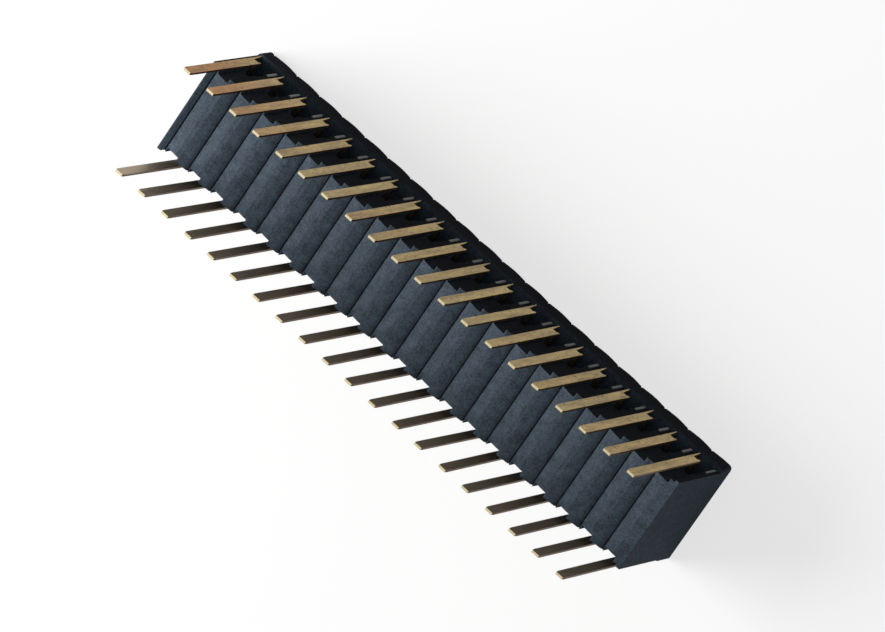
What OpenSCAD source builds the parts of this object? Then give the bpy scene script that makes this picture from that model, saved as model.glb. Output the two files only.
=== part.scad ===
// Female pin header strip: one moulded housing with two rows of stamped contacts.
// X runs along the strip, Y across it, Z up. The strip lies on its mating face at Z = 0,
// and the solder tails of both rows stand up past the board face.

/* [Strip] */
// Number of contact positions in each row
positions = 20; // [2:1:26]
// Distance between neighbouring positions
pitch = 2.54; // [2.4:0.02:3]
// Distance between the middles of the two rows of solder tails
tail_rows = 10.16; // [10:0.02:10.8]
// Distance between the two rows of sockets
socket_rows = 2.54; // [2.3:0.02:3.4]

/* [Housing] */
// Height from the mating face to the board face
body_h = 8.5; // [7:0.1:11]
// Width across the end walls
body_w = 8.7; // [8.4:0.05:9]
// What the housing has at each end past the last position's half pitch
end_margin = 0.1; // [0:0.05:0.6]
// Height of the mating plate, whose long edges stand out as flanges
plate_h = 1.7; // [1.2:0.05:2]
// How far the mating plate stands out past the end walls on each long side
plate_step = 0.35; // [0.2:0.05:0.4]
// Depth of the long sides' panels between the end walls
panel_depth = 0.2; // [0.05:0.05:0.5]
// Thickness of the raised end walls beside those panels
end_wall = 0.35; // [0.15:0.05:0.5]

/* [Grooves between cells] */
// Distance from a contact's middle to the groove on its -X side
groove_x = 0.75; // [0.6:0.05:1.27]
// Half the width of a groove at the surface
groove_half = 1.05; // [0.6:0.05:1.15]
// Depth of a groove at its middle
groove_depth = 0.2; // [0.1:0.05:0.4]
// Radius of the arched flanks that fall to a groove
groove_r = 8; // [2:0.5:20]
// Width of the snap line at a groove's bottom
snap_w = 0.12; // [0.08:0.02:0.3]
// Depth of the snap line below the groove
snap_depth = 0.12; // [0.05:0.01:0.3]

/* [Sockets and windows] */
// Side of a socket's square mouth
mouth = 0.8; // [0.7:0.05:0.85]
// Width of the sloped lead-in round a mouth
lead_in = 0.13; // [0.05:0.01:0.15]
// Depth of the lead-in
lead_depth = 0.35; // [0.1:0.05:0.6]
// Width of the side window through which a contact is put in
window_w = 1.5; // [1.4:0.05:1.7]
// Height of a window above the mating plate
window_h = 2.9; // [2.8:0.1:4]
// Thickness of the web between the two rows of windows
web = 1; // [0.6:0.1:1.4]
// Depth of the channel behind each tail
channel_depth = 0.4; // [0.1:0.05:0.5]
// Room beside a tail in its channel, on each side
channel_gap = 0.2; // [0.05:0.05:0.3]
// Width of the low rib beside each window
rib_w = 0.22; // [0.12:0.02:0.3]
// Length of that rib, up from the mating plate
rib_len = 1.6; // [0.8:0.1:2.4]
// Height of that rib
rib_h = 0.14; // [0.05:0.01:0.3]
// Distance from a window's edge to that rib
rib_gap = 0.05; // [0.03:0.01:0.12]

/* [Contacts] */
// Thickness of the contact strip
strip_t = 0.2; // [0.15:0.05:0.3]
// Width of the solder tail
tail_w = 0.8; // [0.6:0.05:1]
// How far the tails stand out past the board face
tail_out = 6.8; // [2.5:0.1:11]
// Length of the tapered end of a tail
tip_len = 0.3; // [0.1:0.05:0.8]
// Width that the taper takes off each side at the tip
tip_taper = 0.06; // [0.02:0.01:0.2]
// Width of the neck that bends into the housing
neck_w = 0.42; // [0.3:0.02:0.5]
// Inner radius of the neck's bends
bend_r = 0.2; // [0.15:0.05:0.3]
// Length of the longer of the two prongs that stay flat beside the neck's bend
prong_long = 1.45; // [0.8:0.05:2]
// Length of the shorter prong
prong_short = 0.3; // [0.3:0.05:0.8]
// Width of a prong at its end
prong_end = 0.06; // [0.03:0.01:0.15]
// Width of each spring tine
tine_w = 0.36; // [0.25:0.01:0.4]
// Gap between the tines where they grip a pin
grip_gap = 0.5; // [0.3:0.02:0.56]
// Radius of the rounded grip on each tine
grip_r = 0.3; // [0.2:0.02:0.4]
// Side clearance of a tine in its window
tine_gap = 0.06; // [0.03:0.01:0.1]
// Height of the barbs that hold a contact between its window's walls
barb_h = 0.5; // [0.3:0.05:0.8]

/* [Hidden] */
function contact_name(row, i) = str("contact_", row, i < 10 ? "0" : "", i);
$fn = 48;
over = 1;
length = positions * pitch + 2 * end_margin;
panel_y = body_w / 2 - panel_depth;
plate_y = body_w / 2 + plate_step;
window_top = plate_h + window_h;
tip_z = body_h + tail_out;
tail_y = tail_rows / 2;
socket_y = socket_rows / 2;
bend_out = bend_r + strip_t;
plate_bottom = window_top - strip_t + bend_out;
notch_depth = bend_out / 2;
tine_out = window_w / 2 - tine_gap;
tine_tip = plate_h + 0.15;
housing_colour = [0.17, 0.20, 0.24];
contact_colour = [0.72, 0.60, 0.38];

function position_x(i) = (i - (positions + 1) / 2) * pitch;

// Places its children with 2D X along the strip and 2D Y up, from y0 to y1 across the strip
module along_y(y0, y1) {
    translate([0, y1, 0]) rotate([90, 0, 0]) linear_extrude(y1 - y0) children();
}

// Places its children with 2D X across the strip and 2D Y up, w wide along the strip
module along_x(w) {
    rotate([90, 0, 90]) linear_extrude(w, center = true) children();
}

// Repeats its children at each position
module each_position() {
    for (i = [1:positions]) translate([position_x(i), 0]) children();
}

// Repeats its children on both long sides, turned half a turn
module both_sides() {
    children();
    rotate([0, 0, 180]) children();
}

// One groove's section, cut down from y = 0: two arcs meet in the snap line
module groove_section() {
    chord = norm([groove_half, groove_depth]);
    reach = sqrt(groove_r * groove_r - chord * chord / 4);
    centre = [
        groove_half / 2 + groove_depth / chord * reach,
        -groove_depth / 2 - groove_half / chord * reach
    ];
    difference() {
        translate([-groove_half, -groove_depth]) square([2 * groove_half, groove_depth + over]);
        for (side = [-1, 1]) translate([side * centre[0], centre[1]]) circle(groove_r);
    }
    translate([-snap_w / 2, -groove_depth - snap_depth]) square([snap_w, snap_depth + groove_depth / 2]);
}

// Lengthwise section of the housing, with the grooves of both faces
module housing_section() {
    difference() {
        translate([-length / 2, 0]) square([length, body_h]);
        for (i = [1:positions]) translate([position_x(i) - groove_x, 0]) {
            translate([0, body_h]) groove_section();
            mirror([0, 1]) groove_section();
        }
    }
}

// The mating plate is the bottom of the same section, wider, with its corners round in plan
module mating_plate() {
    intersection() {
        along_y(-plate_y, plate_y) housing_section();
        translate([0, 0, -over]) linear_extrude(plate_h + over) plate_plan();
    }
}

// Plan of the mating plate: a round corner at each end of its two flanges
module plate_plan() {
    square([length, body_w], center = true);
    square([length - 2 * plate_step, 2 * plate_y], center = true);
    for (x = [-1, 1], y = [-1, 1])
        translate([x * (length / 2 - plate_step), y * body_w / 2]) circle(plate_step);
}

// Long side's sunk panel, open to the board face and bounded by the end walls and the plate
module panel_cut() {
    translate([-length / 2 + end_wall, panel_y, plate_h])
        cube([length - 2 * end_wall, panel_depth + plate_step + over, body_h - plate_h + over]);
}

// Windows through which the contacts are put in, stopped by the web in the middle
module window_cut() {
    along_y(web / 2, plate_y + over) each_position()
        translate([-window_w / 2, plate_h]) square([window_w, window_h]);
}

// Channel behind each tail, from its window to the board face
module channel_cut() {
    along_y(panel_y - channel_depth, panel_y + over) each_position()
        translate([-tail_w / 2 - channel_gap, window_top - over])
            square([tail_w + 2 * channel_gap, body_h - window_top + 2 * over]);
}

// Square mouths of one row, with a lead-in that slopes on all four sides
module mouth_cut() {
    half = mouth / 2;
    wide = half + lead_in * (1 + over / lead_depth);
    lead_in_section = [[-half, lead_depth], [half, lead_depth], [wide, -over], [-wide, -over]];
    translate([0, socket_y, 0]) {
        along_y(-half, half) each_position() translate([-half, -over]) square([mouth, plate_h + 2 * over]);
        intersection() {
            along_y(-wide, wide) each_position() polygon(lead_in_section);
            along_x(length + 2 * over) polygon(lead_in_section);
        }
    }
}

// Low ribs beside the windows, standing on the mating plate and on the panel
module window_ribs() {
    along_y(panel_y - over / 4, panel_y + rib_h) each_position()
        translate([window_w / 2 + rib_gap, plate_h - over / 4]) square([rib_w, rib_len + over / 4]);
}

module housing() {
    color(housing_colour) {
        difference() {
            union() {
                along_y(-body_w / 2, body_w / 2) housing_section();
                mating_plate();
            }
            both_sides() {
                panel_cut();
                window_cut();
                channel_cut();
                mouth_cut();
            }
        }
        both_sides() window_ribs();
    }
}

// Quarter of a bend in the strip, in the first quadrant round its centre
module bend_section() {
    intersection() {
        difference() {
            circle(bend_out);
            circle(bend_r);
        }
        square(bend_out + over);
    }
}

// Side view of the neck: down into the tines, across through the window, up into the tail
module neck_section() {
    low = socket_y - strip_t / 2 + bend_out;
    high = tail_y + strip_t / 2 - bend_out;
    translate([low, window_top - bend_out]) mirror([1, 0]) bend_section();
    translate([low, window_top - strip_t]) square([high - low, strip_t]);
    translate([high, window_top - strip_t + bend_out]) mirror([0, 1]) bend_section();
}

// Front view of the solder tail: tapered tip, and two uneven prongs left flat beside the neck
module tail_section() {
    side = tail_w / 2;
    polygon([
        [-side + tip_taper, tip_z], [side - tip_taper, tip_z], [side, tip_z - tip_len],
        [side, plate_bottom - prong_short], [side - prong_end, plate_bottom - prong_short],
        [neck_w / 2, plate_bottom - notch_depth], [neck_w / 2, plate_bottom],
        [-neck_w / 2, plate_bottom], [-neck_w / 2, plate_bottom - notch_depth],
        [-side + prong_end, plate_bottom - prong_long], [-side, plate_bottom - prong_long],
        [-side, tip_z - tip_len]
    ]);
}

// Front view of the spring: a plate with barbs, and two tines that grip a pin between them
module spring_section() {
    plate_top = window_top - bend_out;
    root = plate_top - barb_h - tine_w;
    translate([-window_w / 2, plate_top - barb_h]) square([window_w, barb_h]);
    for (side = [0, 1]) mirror([side, 0]) {
        translate([tine_out - tine_w, tine_tip]) square([tine_w, plate_top - tine_tip - barb_h / 2]);
        intersection() {
            translate([grip_gap / 2 + grip_r, tine_tip + grip_r]) circle(grip_r);
            translate([0, tine_tip]) square([tine_out - tine_w / 2, 2 * grip_r]);
        }
    }
    difference() {
        translate([-tine_out, root]) square([2 * tine_out, plate_top - root]);
        translate([0, root]) circle(tine_out - tine_w);
    }
}

// One contact of the row at +Y, at X = 0
module contact() {
    color(contact_colour) {
        along_y(tail_y - strip_t / 2, tail_y + strip_t / 2) tail_section();
        along_x(neck_w) neck_section();
        along_y(socket_y - strip_t / 2, socket_y + strip_t / 2) spring_section();
    }
}

module contact_a(i) {
    translate([position_x(i), 0, 0]) contact();
}

module contact_b(i) {
    translate([position_x(i), 0, 0]) rotate([0, 0, 180]) contact();
}

housing();
for (i = [1:positions]) {
    contact_a(i);
    contact_b(i);
}
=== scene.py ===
import math

import bmesh
import bpy
from mathutils import Matrix, Vector


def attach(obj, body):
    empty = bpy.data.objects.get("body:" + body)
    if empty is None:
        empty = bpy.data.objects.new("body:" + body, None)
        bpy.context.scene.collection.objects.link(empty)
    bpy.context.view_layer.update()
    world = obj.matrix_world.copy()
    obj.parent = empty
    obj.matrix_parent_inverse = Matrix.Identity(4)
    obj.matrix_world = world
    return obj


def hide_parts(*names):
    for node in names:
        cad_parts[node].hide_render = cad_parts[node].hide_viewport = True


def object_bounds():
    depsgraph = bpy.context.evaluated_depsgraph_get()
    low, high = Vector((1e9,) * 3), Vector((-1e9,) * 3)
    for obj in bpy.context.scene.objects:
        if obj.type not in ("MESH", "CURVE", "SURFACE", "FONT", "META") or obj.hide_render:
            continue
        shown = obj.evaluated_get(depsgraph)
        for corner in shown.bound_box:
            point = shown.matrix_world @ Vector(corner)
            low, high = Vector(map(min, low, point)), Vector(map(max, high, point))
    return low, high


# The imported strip: one housing and two rows of contacts, as the part's source makes them.
# It stands on its mating face, with the grooved board face and the tails upwards.
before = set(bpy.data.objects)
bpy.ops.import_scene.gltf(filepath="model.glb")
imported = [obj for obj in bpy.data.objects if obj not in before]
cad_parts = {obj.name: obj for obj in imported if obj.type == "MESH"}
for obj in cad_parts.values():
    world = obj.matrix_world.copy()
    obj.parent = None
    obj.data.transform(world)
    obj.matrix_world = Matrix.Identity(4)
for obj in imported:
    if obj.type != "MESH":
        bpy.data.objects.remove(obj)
cad_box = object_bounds()

# Housing: one black moulding of glass-filled polyester with twenty cells, each sloped like a low roof.
# It is injection moulded, so its edges are slightly round and its skin is matte and faintly mottled.
# Its long sides and ends are duller than the board face and darkened with painted shade, and its low
# side ribs carry a painted highlight.
PITCH = 0.00254
EDGE_ROUND = 0.00004
SIDE_Y = 0.00372
END_X = cad_box[1][0] - EDGE_ROUND / 2
SNAP_PLACE = 0.2047  # of a pitch, from the middle of the strip
RIB_PLACE = 0.858  # of a pitch
RIB_HALF = 0.06  # of a pitch
RIB_Y = 0.00420
RIB_FOOT = 0.00175
RIB_TOP = 0.0036


def rounded_copy(node, name, width):
    """A merged copy of a CAD node with its sharp edges rounded."""
    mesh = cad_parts[node].data.copy()
    mesh.name = name
    form = bmesh.new()
    form.from_mesh(mesh)
    bmesh.ops.remove_doubles(form, verts=form.verts, dist=0.000001)
    bmesh.ops.dissolve_limit(
        form, angle_limit=math.radians(0.5), verts=form.verts, edges=form.edges
    )
    form.to_mesh(mesh)
    form.free()
    piece = bpy.data.objects.new(name, mesh)
    bpy.context.scene.collection.objects.link(piece)
    bevel = piece.modifiers.new("Rounded edges", "BEVEL")
    bevel.width = width
    bevel.segments = 2
    bevel.limit_method = "ANGLE"
    bevel.angle_limit = math.radians(40)
    bevel.use_clamp_overlap = True
    return piece


def plain_mesh(piece):
    """Applies what the piece's modifiers make, and takes them off."""
    made = bpy.data.meshes.new_from_object(
        piece.evaluated_get(bpy.context.evaluated_depsgraph_get())
    )
    piece.modifiers.clear()
    old, piece.data = piece.data, made
    made.name = piece.name
    bpy.data.meshes.remove(old)
    return piece


def add(tree, kind, wires=None, **settings):
    """Adds a node, sets its properties, and wires or sets its inputs."""
    node = tree.nodes.new(kind)
    for key, value in settings.items():
        setattr(node, key, value)
    for key, value in (wires or {}).items():
        if isinstance(value, bpy.types.NodeSocket):
            tree.links.new(value, node.inputs[key])
        else:
            node.inputs[key].default_value = value
    return node


def worked(tree, operation, *values):
    """The result of one step of arithmetic on these sockets or numbers."""
    return add(tree, "ShaderNodeMath", dict(enumerate(values)), operation=operation).outputs[0]


def spread(tree, value, start, end, low=0.0, high=1.0):
    """A number that runs from low to high while the value runs from start to end."""
    wires = {"Value": value, "From Min": start, "From Max": end, "To Min": low, "To Max": high}
    return add(tree, "ShaderNodeMapRange", wires).outputs["Result"]


def two_toned(tree, value, dark, light):
    """A colour between two tones, each given as its place and its red, green and blue."""
    ramp = add(tree, "ShaderNodeValToRGB", {"Fac": value})
    for stop, (place, tint) in zip(ramp.color_ramp.elements, (dark, light)):
        stop.position = place
        stop.color = (*tint, 1)
    return ramp.outputs["Color"]


def laid_over(tree, share, below, tint, blend_type="MIX"):
    """The colour below, with this share of a tint laid over it."""
    wires = {"Factor": share, "A": below, "B": (*tint, 1)}
    return add(
        tree, "ShaderNodeMix", wires, data_type="RGBA", blend_type=blend_type
    ).outputs["Result"]


def surfaced(tree, colour, rough, height, strength, depth):
    """Gives the material's shader its colour, roughness and raised grain, and returns the shader."""
    skin = tree.nodes["Principled BSDF"]
    bump = add(
        tree, "ShaderNodeBump", {"Height": height, "Strength": strength, "Distance": depth}
    )
    tree.links.new(colour, skin.inputs["Base Color"])
    tree.links.new(rough, skin.inputs["Roughness"])
    tree.links.new(bump.outputs["Normal"], skin.inputs["Normal"])
    return skin


# Grain: a fine height pattern with a coarser mottle, for the moulding and for the stamped strip
grain = bpy.data.node_groups.new("Surface grain", "ShaderNodeTree")
for label, kind, value in (
    ("Vector", "NodeSocketVector", (0, 0, 0)),
    ("Fine size", "NodeSocketFloat", 9000.0),
    ("Coarse size", "NodeSocketFloat", 1500.0),
    ("Coarse share", "NodeSocketFloat", 0.5),
):
    socket = grain.interface.new_socket(label, in_out="INPUT", socket_type=kind)
    socket.default_value = value
for label in ("Height", "Mottle"):
    grain.interface.new_socket(label, in_out="OUTPUT", socket_type="NodeSocketFloat")
given = add(grain, "NodeGroupInput").outputs
fine = add(
    grain,
    "ShaderNodeTexNoise",
    {"Vector": given["Vector"], "Scale": given["Fine size"], "Detail": 3.0},
).outputs["Fac"]
coarse = add(
    grain,
    "ShaderNodeTexNoise",
    {"Vector": given["Vector"], "Scale": given["Coarse size"], "Detail": 4.0, "Roughness": 0.6},
).outputs["Fac"]
blend = add(grain, "ShaderNodeMix", {"Factor": given["Coarse share"], "A": fine, "B": coarse})
add(grain, "NodeGroupOutput", {"Height": blend.outputs["Result"], "Mottle": coarse})

plastic = bpy.data.materials.new("moulded_black")
plastic.use_nodes = True
tree = plastic.node_tree
place = add(tree, "ShaderNodeTexCoord").outputs["Object"]
skin_grain = add(
    tree,
    "ShaderNodeGroup",
    {"Vector": place, "Fine size": 6500.0, "Coarse size": 1300.0, "Coarse share": 0.45},
    node_tree=grain,
).outputs
colour = two_toned(
    tree,
    skin_grain["Height"],
    (0.36, (0.027, 0.037, 0.049)),
    (0.64, (0.070, 0.096, 0.127)),
)
spot = add(tree, "ShaderNodeSeparateXYZ", {"Vector": place}).outputs
normal = add(tree, "ShaderNodeNewGeometry").outputs["True Normal"]
facing = add(tree, "ShaderNodeSeparateXYZ", {"Vector": normal}).outputs

# The long sides and the ends are drawn along the mould, which leaves them duller; their deeper black
# is painted shade
off_middle = worked(tree, "ABSOLUTE", spot["Y"])
on_side = spread(tree, off_middle, SIDE_Y - EDGE_ROUND, SIDE_Y + EDGE_ROUND)
sides = worked(tree, "MULTIPLY", on_side, worked(tree, "ABSOLUTE", facing["Y"]))
on_end = spread(tree, worked(tree, "ABSOLUTE", spot["X"]), END_X - EDGE_ROUND, END_X, high=0.4)
ends = worked(tree, "MULTIPLY", on_end, worked(tree, "ABSOLUTE", facing["X"]))
side_shade_and_dullness = worked(tree, "MAXIMUM", sides, ends)
colour = laid_over(tree, side_shade_and_dullness, colour, (0.009, 0.0105, 0.0135))

# Painted shade: the board face and the mating face are darker along the -X side of each snap line
cells = worked(tree, "DIVIDE", spot["X"], PITCH)
past_snap = worked(tree, "FRACT", worked(tree, "SUBTRACT", cells, SNAP_PLACE))
snap_line_shade = spread(tree, past_snap, 0.80, 0.98, high=0.3)
snap_line_shade = worked(tree, "MULTIPLY", snap_line_shade, worked(tree, "ABSOLUTE", facing["Z"]))
colour = laid_over(tree, snap_line_shade, colour, (0.010, 0.013, 0.018))

# Painted highlight: the low ribs are painted pale, where their edges catch the light
along = worked(tree, "MULTIPLY", spot["X"], worked(tree, "SIGN", spot["Y"]))
in_cell = worked(tree, "FRACT", worked(tree, "DIVIDE", along, PITCH))
rib_highlight = worked(tree, "COMPARE", in_cell, RIB_PLACE, RIB_HALF)
for limit in (
    worked(tree, "GREATER_THAN", off_middle, RIB_Y),
    worked(tree, "GREATER_THAN", spot["Z"], RIB_FOOT),
    worked(tree, "LESS_THAN", spot["Z"], RIB_TOP),
):
    rib_highlight = worked(tree, "MULTIPLY", rib_highlight, limit)
colour = laid_over(tree, rib_highlight, colour, (0.24, 0.24, 0.235))

rough = spread(tree, skin_grain["Mottle"], 0.0, 1.0, 0.50, 0.70)
rough = add(tree, "ShaderNodeMix", {"Factor": side_shade_and_dullness, "A": rough, "B": 0.95}).outputs["Result"]
skin = surfaced(tree, colour, rough, skin_grain["Height"], 0.5, 0.00003)
skin.inputs["Specular IOR Level"].default_value = 0.06

housing = plain_mesh(rounded_copy("housing", "moulded_housing", EDGE_ROUND))
housing.data.materials.clear()
housing.data.materials.append(plastic)
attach(housing, "root")
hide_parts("housing")

# Contacts: forty springs stamped from copper alloy strip that was gold plated before the stamping.
# Each is pushed into its window from the long side, and its barbs hold it there.
# The tails never come out quite alike, so each leans a little to one side and has its own tone.
POSITIONS = sum(name.startswith("contact_a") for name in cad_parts)
STAMPED_EDGE = 0.00002
STRIP_THICK = 0.0002
TAIL_ROOT = 0.0048
TAIL_TIP = cad_box[1][2]
TAIL_INNER_Y = cad_box[1][1] - STRIP_THICK
REDDEST_FROM = TAIL_TIP - 0.003
CUT_FROM = TAIL_TIP - 0.00012

gilt = bpy.data.materials.new("gilt_strip")
gilt.use_nodes = True
tree = gilt.node_tree
place = add(tree, "ShaderNodeTexCoord").outputs["Object"]
# Rolling marks run along the tail, so the pattern is drawn out along Z
rolled = add(tree, "ShaderNodeMapping", {"Vector": place, "Scale": (1.0, 1.0, 0.12)})
strip_grain = add(
    tree,
    "ShaderNodeGroup",
    {
        "Vector": rolled.outputs["Vector"],
        "Fine size": 12000.0,
        "Coarse size": 2200.0,
        "Coarse share": 0.6,
    },
    node_tree=grain,
).outputs
colour = two_toned(
    tree,
    strip_grain["Height"],
    (0.34, (0.21, 0.150, 0.060)),
    (0.66, (0.52, 0.40, 0.175)),
)
spot = add(tree, "ShaderNodeSeparateXYZ", {"Vector": place}).outputs
normal = add(tree, "ShaderNodeNewGeometry").outputs["True Normal"]
facing = add(tree, "ShaderNodeSeparateXYZ", {"Vector": normal}).outputs

# Some tails are redder, the first ones most, and more so towards the tip
shade = add(tree, "ShaderNodeAttribute", attribute_name="shade").outputs["Fac"]
towards_tip = spread(tree, spot["Z"], TAIL_ROOT, REDDEST_FROM, low=0.15)
reddening = worked(tree, "MULTIPLY", shade, towards_tip)
colour = laid_over(tree, reddening, colour, (0.88, 0.58, 0.46), "MULTIPLY")

# Small dark pits in the plating
pits = add(tree, "ShaderNodeTexNoise", {"Vector": place, "Scale": 3600.0, "Detail": 2.0})
pitted = spread(tree, pits.outputs["Fac"], 0.60, 0.70, high=0.7)
colour = laid_over(tree, pitted, colour, (0.10, 0.075, 0.045))

# Painted reflection: the inner faces, which face across the housing, are turned greyer and less yellow
outwards = worked(tree, "MULTIPLY", facing["Y"], worked(tree, "SIGN", spot["Y"]))
inner_reflection = spread(tree, outwards, -0.5, -0.9)
colour = laid_over(tree, inner_reflection, colour, (0.42, 0.33, 0.24))

# The edges are cut after the plating, so they are bare and tarnished; their near black is also painted
# shade
bare_edge_and_shade = spread(tree, worked(tree, "ABSOLUTE", facing["X"]), 0.5, 0.8, high=0.92)
colour = laid_over(tree, bare_edge_and_shade, colour, (0.085, 0.050, 0.028))

# Painted shadow: the neck and the spring behind it are painted near black inside the window, where
# they lie in shade
window_shadow = spread(
    tree,
    worked(tree, "ABSOLUTE", spot["Y"]),
    TAIL_INNER_Y - STAMPED_EDGE,
    TAIL_INNER_Y - 3 * STAMPED_EDGE,
    high=0.95,
)
colour = laid_over(tree, window_shadow, colour, (0.016, 0.012, 0.009))

# The tip is cut through to the pale metal
cut = spread(tree, spot["Z"], CUT_FROM, TAIL_TIP - STAMPED_EDGE)
colour = laid_over(tree, cut, colour, (0.37, 0.32, 0.20))

rough = spread(tree, strip_grain["Mottle"], 0.0, 1.0, 0.38, 0.54)
metal = surfaced(tree, colour, rough, strip_grain["Height"], 0.35, 0.000008)
metal.inputs["Metallic"].default_value = 1.0


def stored(tree, points, label, value):
    """Keeps a number of its own on each point."""
    wires = {"Geometry": points, "Name": label, "Value": value}
    return add(
        tree, "GeometryNodeStoreNamedAttribute", wires, data_type="FLOAT", domain="POINT"
    ).outputs["Geometry"]


# The row: the same stamping at each position, with its tail a little out of line
row = bpy.data.node_groups.new("Row of contacts", "GeometryNodeTree")
for label, kind in (
    ("Contact", "NodeSocketGeometry"),
    ("Positions", "NodeSocketInt"),
    ("Pitch", "NodeSocketFloat"),
    ("Sway", "NodeSocketFloat"),
    ("Tail root", "NodeSocketFloat"),
    ("Tail tip", "NodeSocketFloat"),
    ("Reddened", "NodeSocketFloat"),
    ("Seed", "NodeSocketInt"),
    ("Finish", "NodeSocketMaterial"),
):
    row.interface.new_socket(label, in_out="INPUT", socket_type=kind)
row.interface.new_socket("Row", in_out="OUTPUT", socket_type="NodeSocketGeometry")
given = add(row, "NodeGroupInput").outputs
gaps = worked(row, "SUBTRACT", given["Positions"], 1.0)
span = worked(row, "MULTIPLY", gaps, given["Pitch"])
start = add(row, "ShaderNodeCombineXYZ", {"X": worked(row, "MULTIPLY", span, -0.5)})
step = add(row, "ShaderNodeCombineXYZ", {"X": given["Pitch"]})
line = add(
    row,
    "GeometryNodeMeshLine",
    {
        "Count": given["Positions"],
        "Start Location": start.outputs[0],
        "Offset": step.outputs[0],
    },
)
# The redder tone fades along the first positions, and a little of it is chance
order = add(row, "GeometryNodeInputIndex").outputs[0]
fade = spread(row, order, 0.0, given["Reddened"], 1.0, 0.0)
chance = add(row, "FunctionNodeRandomValue", {"Seed": given["Seed"]}, data_type="FLOAT")
chance = worked(row, "MULTIPLY", chance.outputs["Value"], 0.3)
points = stored(row, line.outputs["Mesh"], "shade", worked(row, "ADD", fade, chance))
swing = add(
    row,
    "FunctionNodeRandomValue",
    {"Min": -1.0, "Max": 1.0, "Seed": worked(row, "ADD", given["Seed"], 7.0)},
    data_type="FLOAT",
)
points = stored(row, points, "sway", swing.outputs["Value"])
placed = add(
    row, "GeometryNodeInstanceOnPoints", {"Points": points, "Instance": given["Contact"]}
)
real = add(
    row, "GeometryNodeRealizeInstances", {"Geometry": placed.outputs["Instances"]}
)
# Each tail leans from its root, and most at its tip
height = add(
    row, "ShaderNodeSeparateXYZ", {"Vector": add(row, "GeometryNodeInputPosition").outputs[0]}
).outputs["Z"]
up_tail = spread(row, height, given["Tail root"], given["Tail tip"])
own = add(row, "GeometryNodeInputNamedAttribute", {"Name": "sway"}, data_type="FLOAT")
lean = worked(row, "MULTIPLY", own.outputs["Attribute"], given["Sway"])
aside = add(row, "ShaderNodeCombineXYZ", {"X": worked(row, "MULTIPLY", lean, up_tail)})
leaned = add(
    row,
    "GeometryNodeSetPosition",
    {"Geometry": real.outputs["Geometry"], "Offset": aside.outputs[0]},
)
finished = add(
    row,
    "GeometryNodeSetMaterial",
    {"Geometry": leaned.outputs["Geometry"], "Material": given["Finish"]},
)
add(row, "NodeGroupOutput", {"Row": finished.outputs["Geometry"]})
sockets = {i.name: i.identifier for i in row.interface.items_tree if i.in_out == "INPUT"}

for letter, seed in (("a", 3), ("b", 11)):
    contact = plain_mesh(
        rounded_copy(f"contact_{letter}01", f"stamping_{letter}", STAMPED_EDGE)
    )
    # The first contact is moved to the middle, because the row is built out from there
    contact.data.transform(Matrix.Translation((PITCH * (POSITIONS - 1) / 2, 0, 0)))
    repeat = contact.modifiers.new("Row", "NODES")
    repeat.node_group = row
    for label, value in (
        ("Positions", POSITIONS),
        ("Pitch", PITCH),
        ("Sway", 0.00006),
        ("Tail root", TAIL_ROOT),
        ("Tail tip", TAIL_TIP),
        ("Reddened", 4.0),
        ("Seed", seed),
        ("Finish", gilt),
    ):
        repeat[sockets[label]] = value
    plain_mesh(contact)
    bpy.ops.object.select_all(action="DESELECT")
    contact.select_set(True)
    bpy.context.view_layer.objects.active = contact
    bpy.ops.object.mode_set(mode="EDIT")
    bpy.ops.mesh.separate(type="LOOSE")
    bpy.ops.object.mode_set(mode="OBJECT")
    stampings = sorted(
        bpy.context.selected_objects,
        key=lambda o: sum(v.co.x for v in o.data.vertices) / len(o.data.vertices),
    )
    for i, stamping in enumerate(stampings, 1):
        stamping.name = f"gilt_contact_{letter}{i:02d}"
        stamping.data.name = stamping.name
        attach(stamping, "root")
        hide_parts(f"contact_{letter}{i:02d}")

# Sheet: white paper under the strip, wide enough to fill the picture and to take a soft shadow.
# The strip is shown cut out on white, so what the eye and mirrors see of the paper mostly glows white.
SHEET_HALF = 3
sheet_mesh = bpy.data.meshes.new("sheet")
sheet_mesh.from_pydata(
    [(SHEET_HALF * x, SHEET_HALF * y, 0) for x, y in ((-1, -1), (1, -1), (1, 1), (-1, 1))],
    [],
    [(0, 1, 2, 3)],
)
sheet = bpy.data.objects.new("sheet", sheet_mesh)
bpy.context.scene.collection.objects.link(sheet)


def seen(tree):
    """One for a ray that comes from the eye, a mirror or glass, and nought for any other."""
    ray = add(tree, "ShaderNodeLightPath").outputs
    direct = worked(tree, "MAXIMUM", ray["Is Camera Ray"], ray["Is Glossy Ray"])
    return worked(tree, "MAXIMUM", direct, ray["Is Transmission Ray"])


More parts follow.
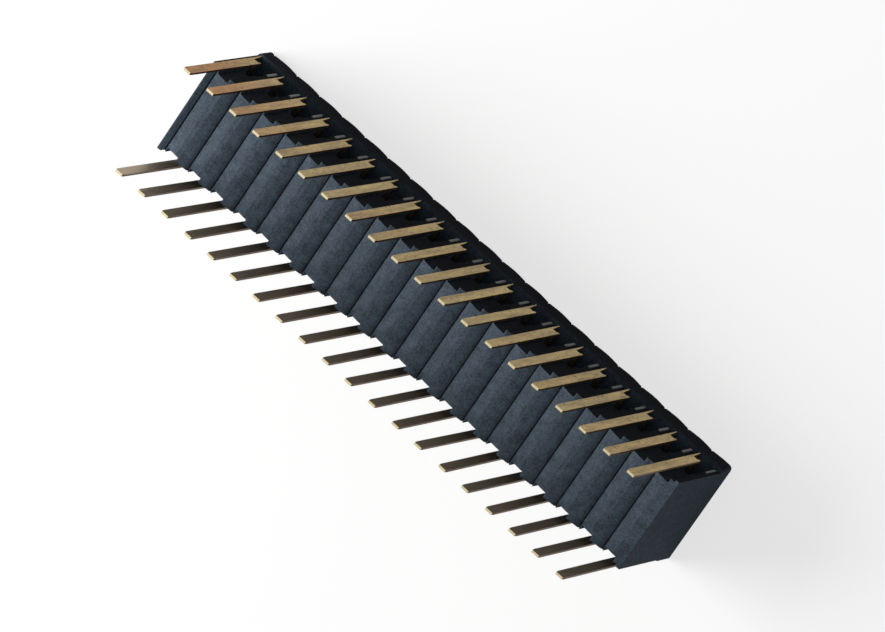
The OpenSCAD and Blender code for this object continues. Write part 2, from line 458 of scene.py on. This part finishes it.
paper = bpy.data.materials.new("white_paper")
paper.use_nodes = True
tree = paper.node_tree
matte = tree.nodes["Principled BSDF"]
matte.inputs["Base Color"].default_value = (0.96, 0.96, 0.96, 1)
matte.inputs["Roughness"].default_value = 0.9
matte.inputs["Specular IOR Level"].default_value = 0.1
glow = add(tree, "ShaderNodeEmission", {"Strength": 1.0})
share = worked(tree, "MULTIPLY", seen(tree), 0.7)
both = add(tree, "ShaderNodeMixShader", {0: share, 1: matte.outputs[0], 2: glow.outputs[0]})
tree.links.new(both.outputs[0], tree.nodes["Material Output"].inputs["Surface"])
sheet_mesh.materials.append(paper)

# Light: one large soft key, low on the side of the first contacts and of the dark tails.
# Pale surroundings fill the shadows, and look white to the eye and to mirrors.
STRIP_MIDDLE = Vector((0, 0, 0.006))
KEY_SIDE = Vector((-0.85, -0.35, 0.42)).normalized()
KEY_DISTANCE = 0.42
lamp = bpy.data.lights.new("key", "AREA")
lamp.shape = "SQUARE"
lamp.size = 0.30
lamp.energy = 3.5
key = bpy.data.objects.new("key", lamp)
bpy.context.scene.collection.objects.link(key)
key.location = KEY_SIDE * KEY_DISTANCE + STRIP_MIDDLE
key.rotation_euler = (-KEY_SIDE).to_track_quat("-Z", "Y").to_euler()

world = bpy.data.worlds.new("studio")
bpy.context.scene.world = world
world.use_nodes = True
tree = world.node_tree
air = tree.nodes["Background"]
air.inputs["Color"].default_value = (1, 1, 1, 1)
tree.links.new(spread(tree, seen(tree), 0.0, 1.0, 0.25, 1.0), air.inputs["Strength"])

# Camera: a long lens, high up and towards the +X end and the +Y side of the strip.
# It is turned about its own axis, so that the tails point to the left of the picture.
EYE = Vector((0.24218, 0.27896, 0.65912))
AIM = Vector((0.00137, 0.00064, 0.00672))
TURN = math.radians(100.76)
lens = bpy.data.cameras.new("camera")
lens.sensor_width = 36
lens.lens = 395.56
lens.clip_start = 0.01
lens.clip_end = 10
camera = bpy.data.objects.new("camera", lens)
bpy.context.scene.collection.objects.link(camera)
bpy.context.scene.camera = camera
back = (EYE - AIM).normalized()
side = Vector((0, 0, 1)).cross(back).normalized()
rise = back.cross(side)
right = side * math.cos(TURN) - rise * math.sin(TURN)
top = side * math.sin(TURN) + rise * math.cos(TURN)
camera.matrix_world = Matrix(
    (
        (right.x, top.x, back.x, EYE.x),
        (right.y, top.y, back.y, EYE.y),
        (right.z, top.z, back.z, EYE.z),
        (0, 0, 0, 1),
    )
)

bpy.context.scene.view_settings.view_transform = "Standard"
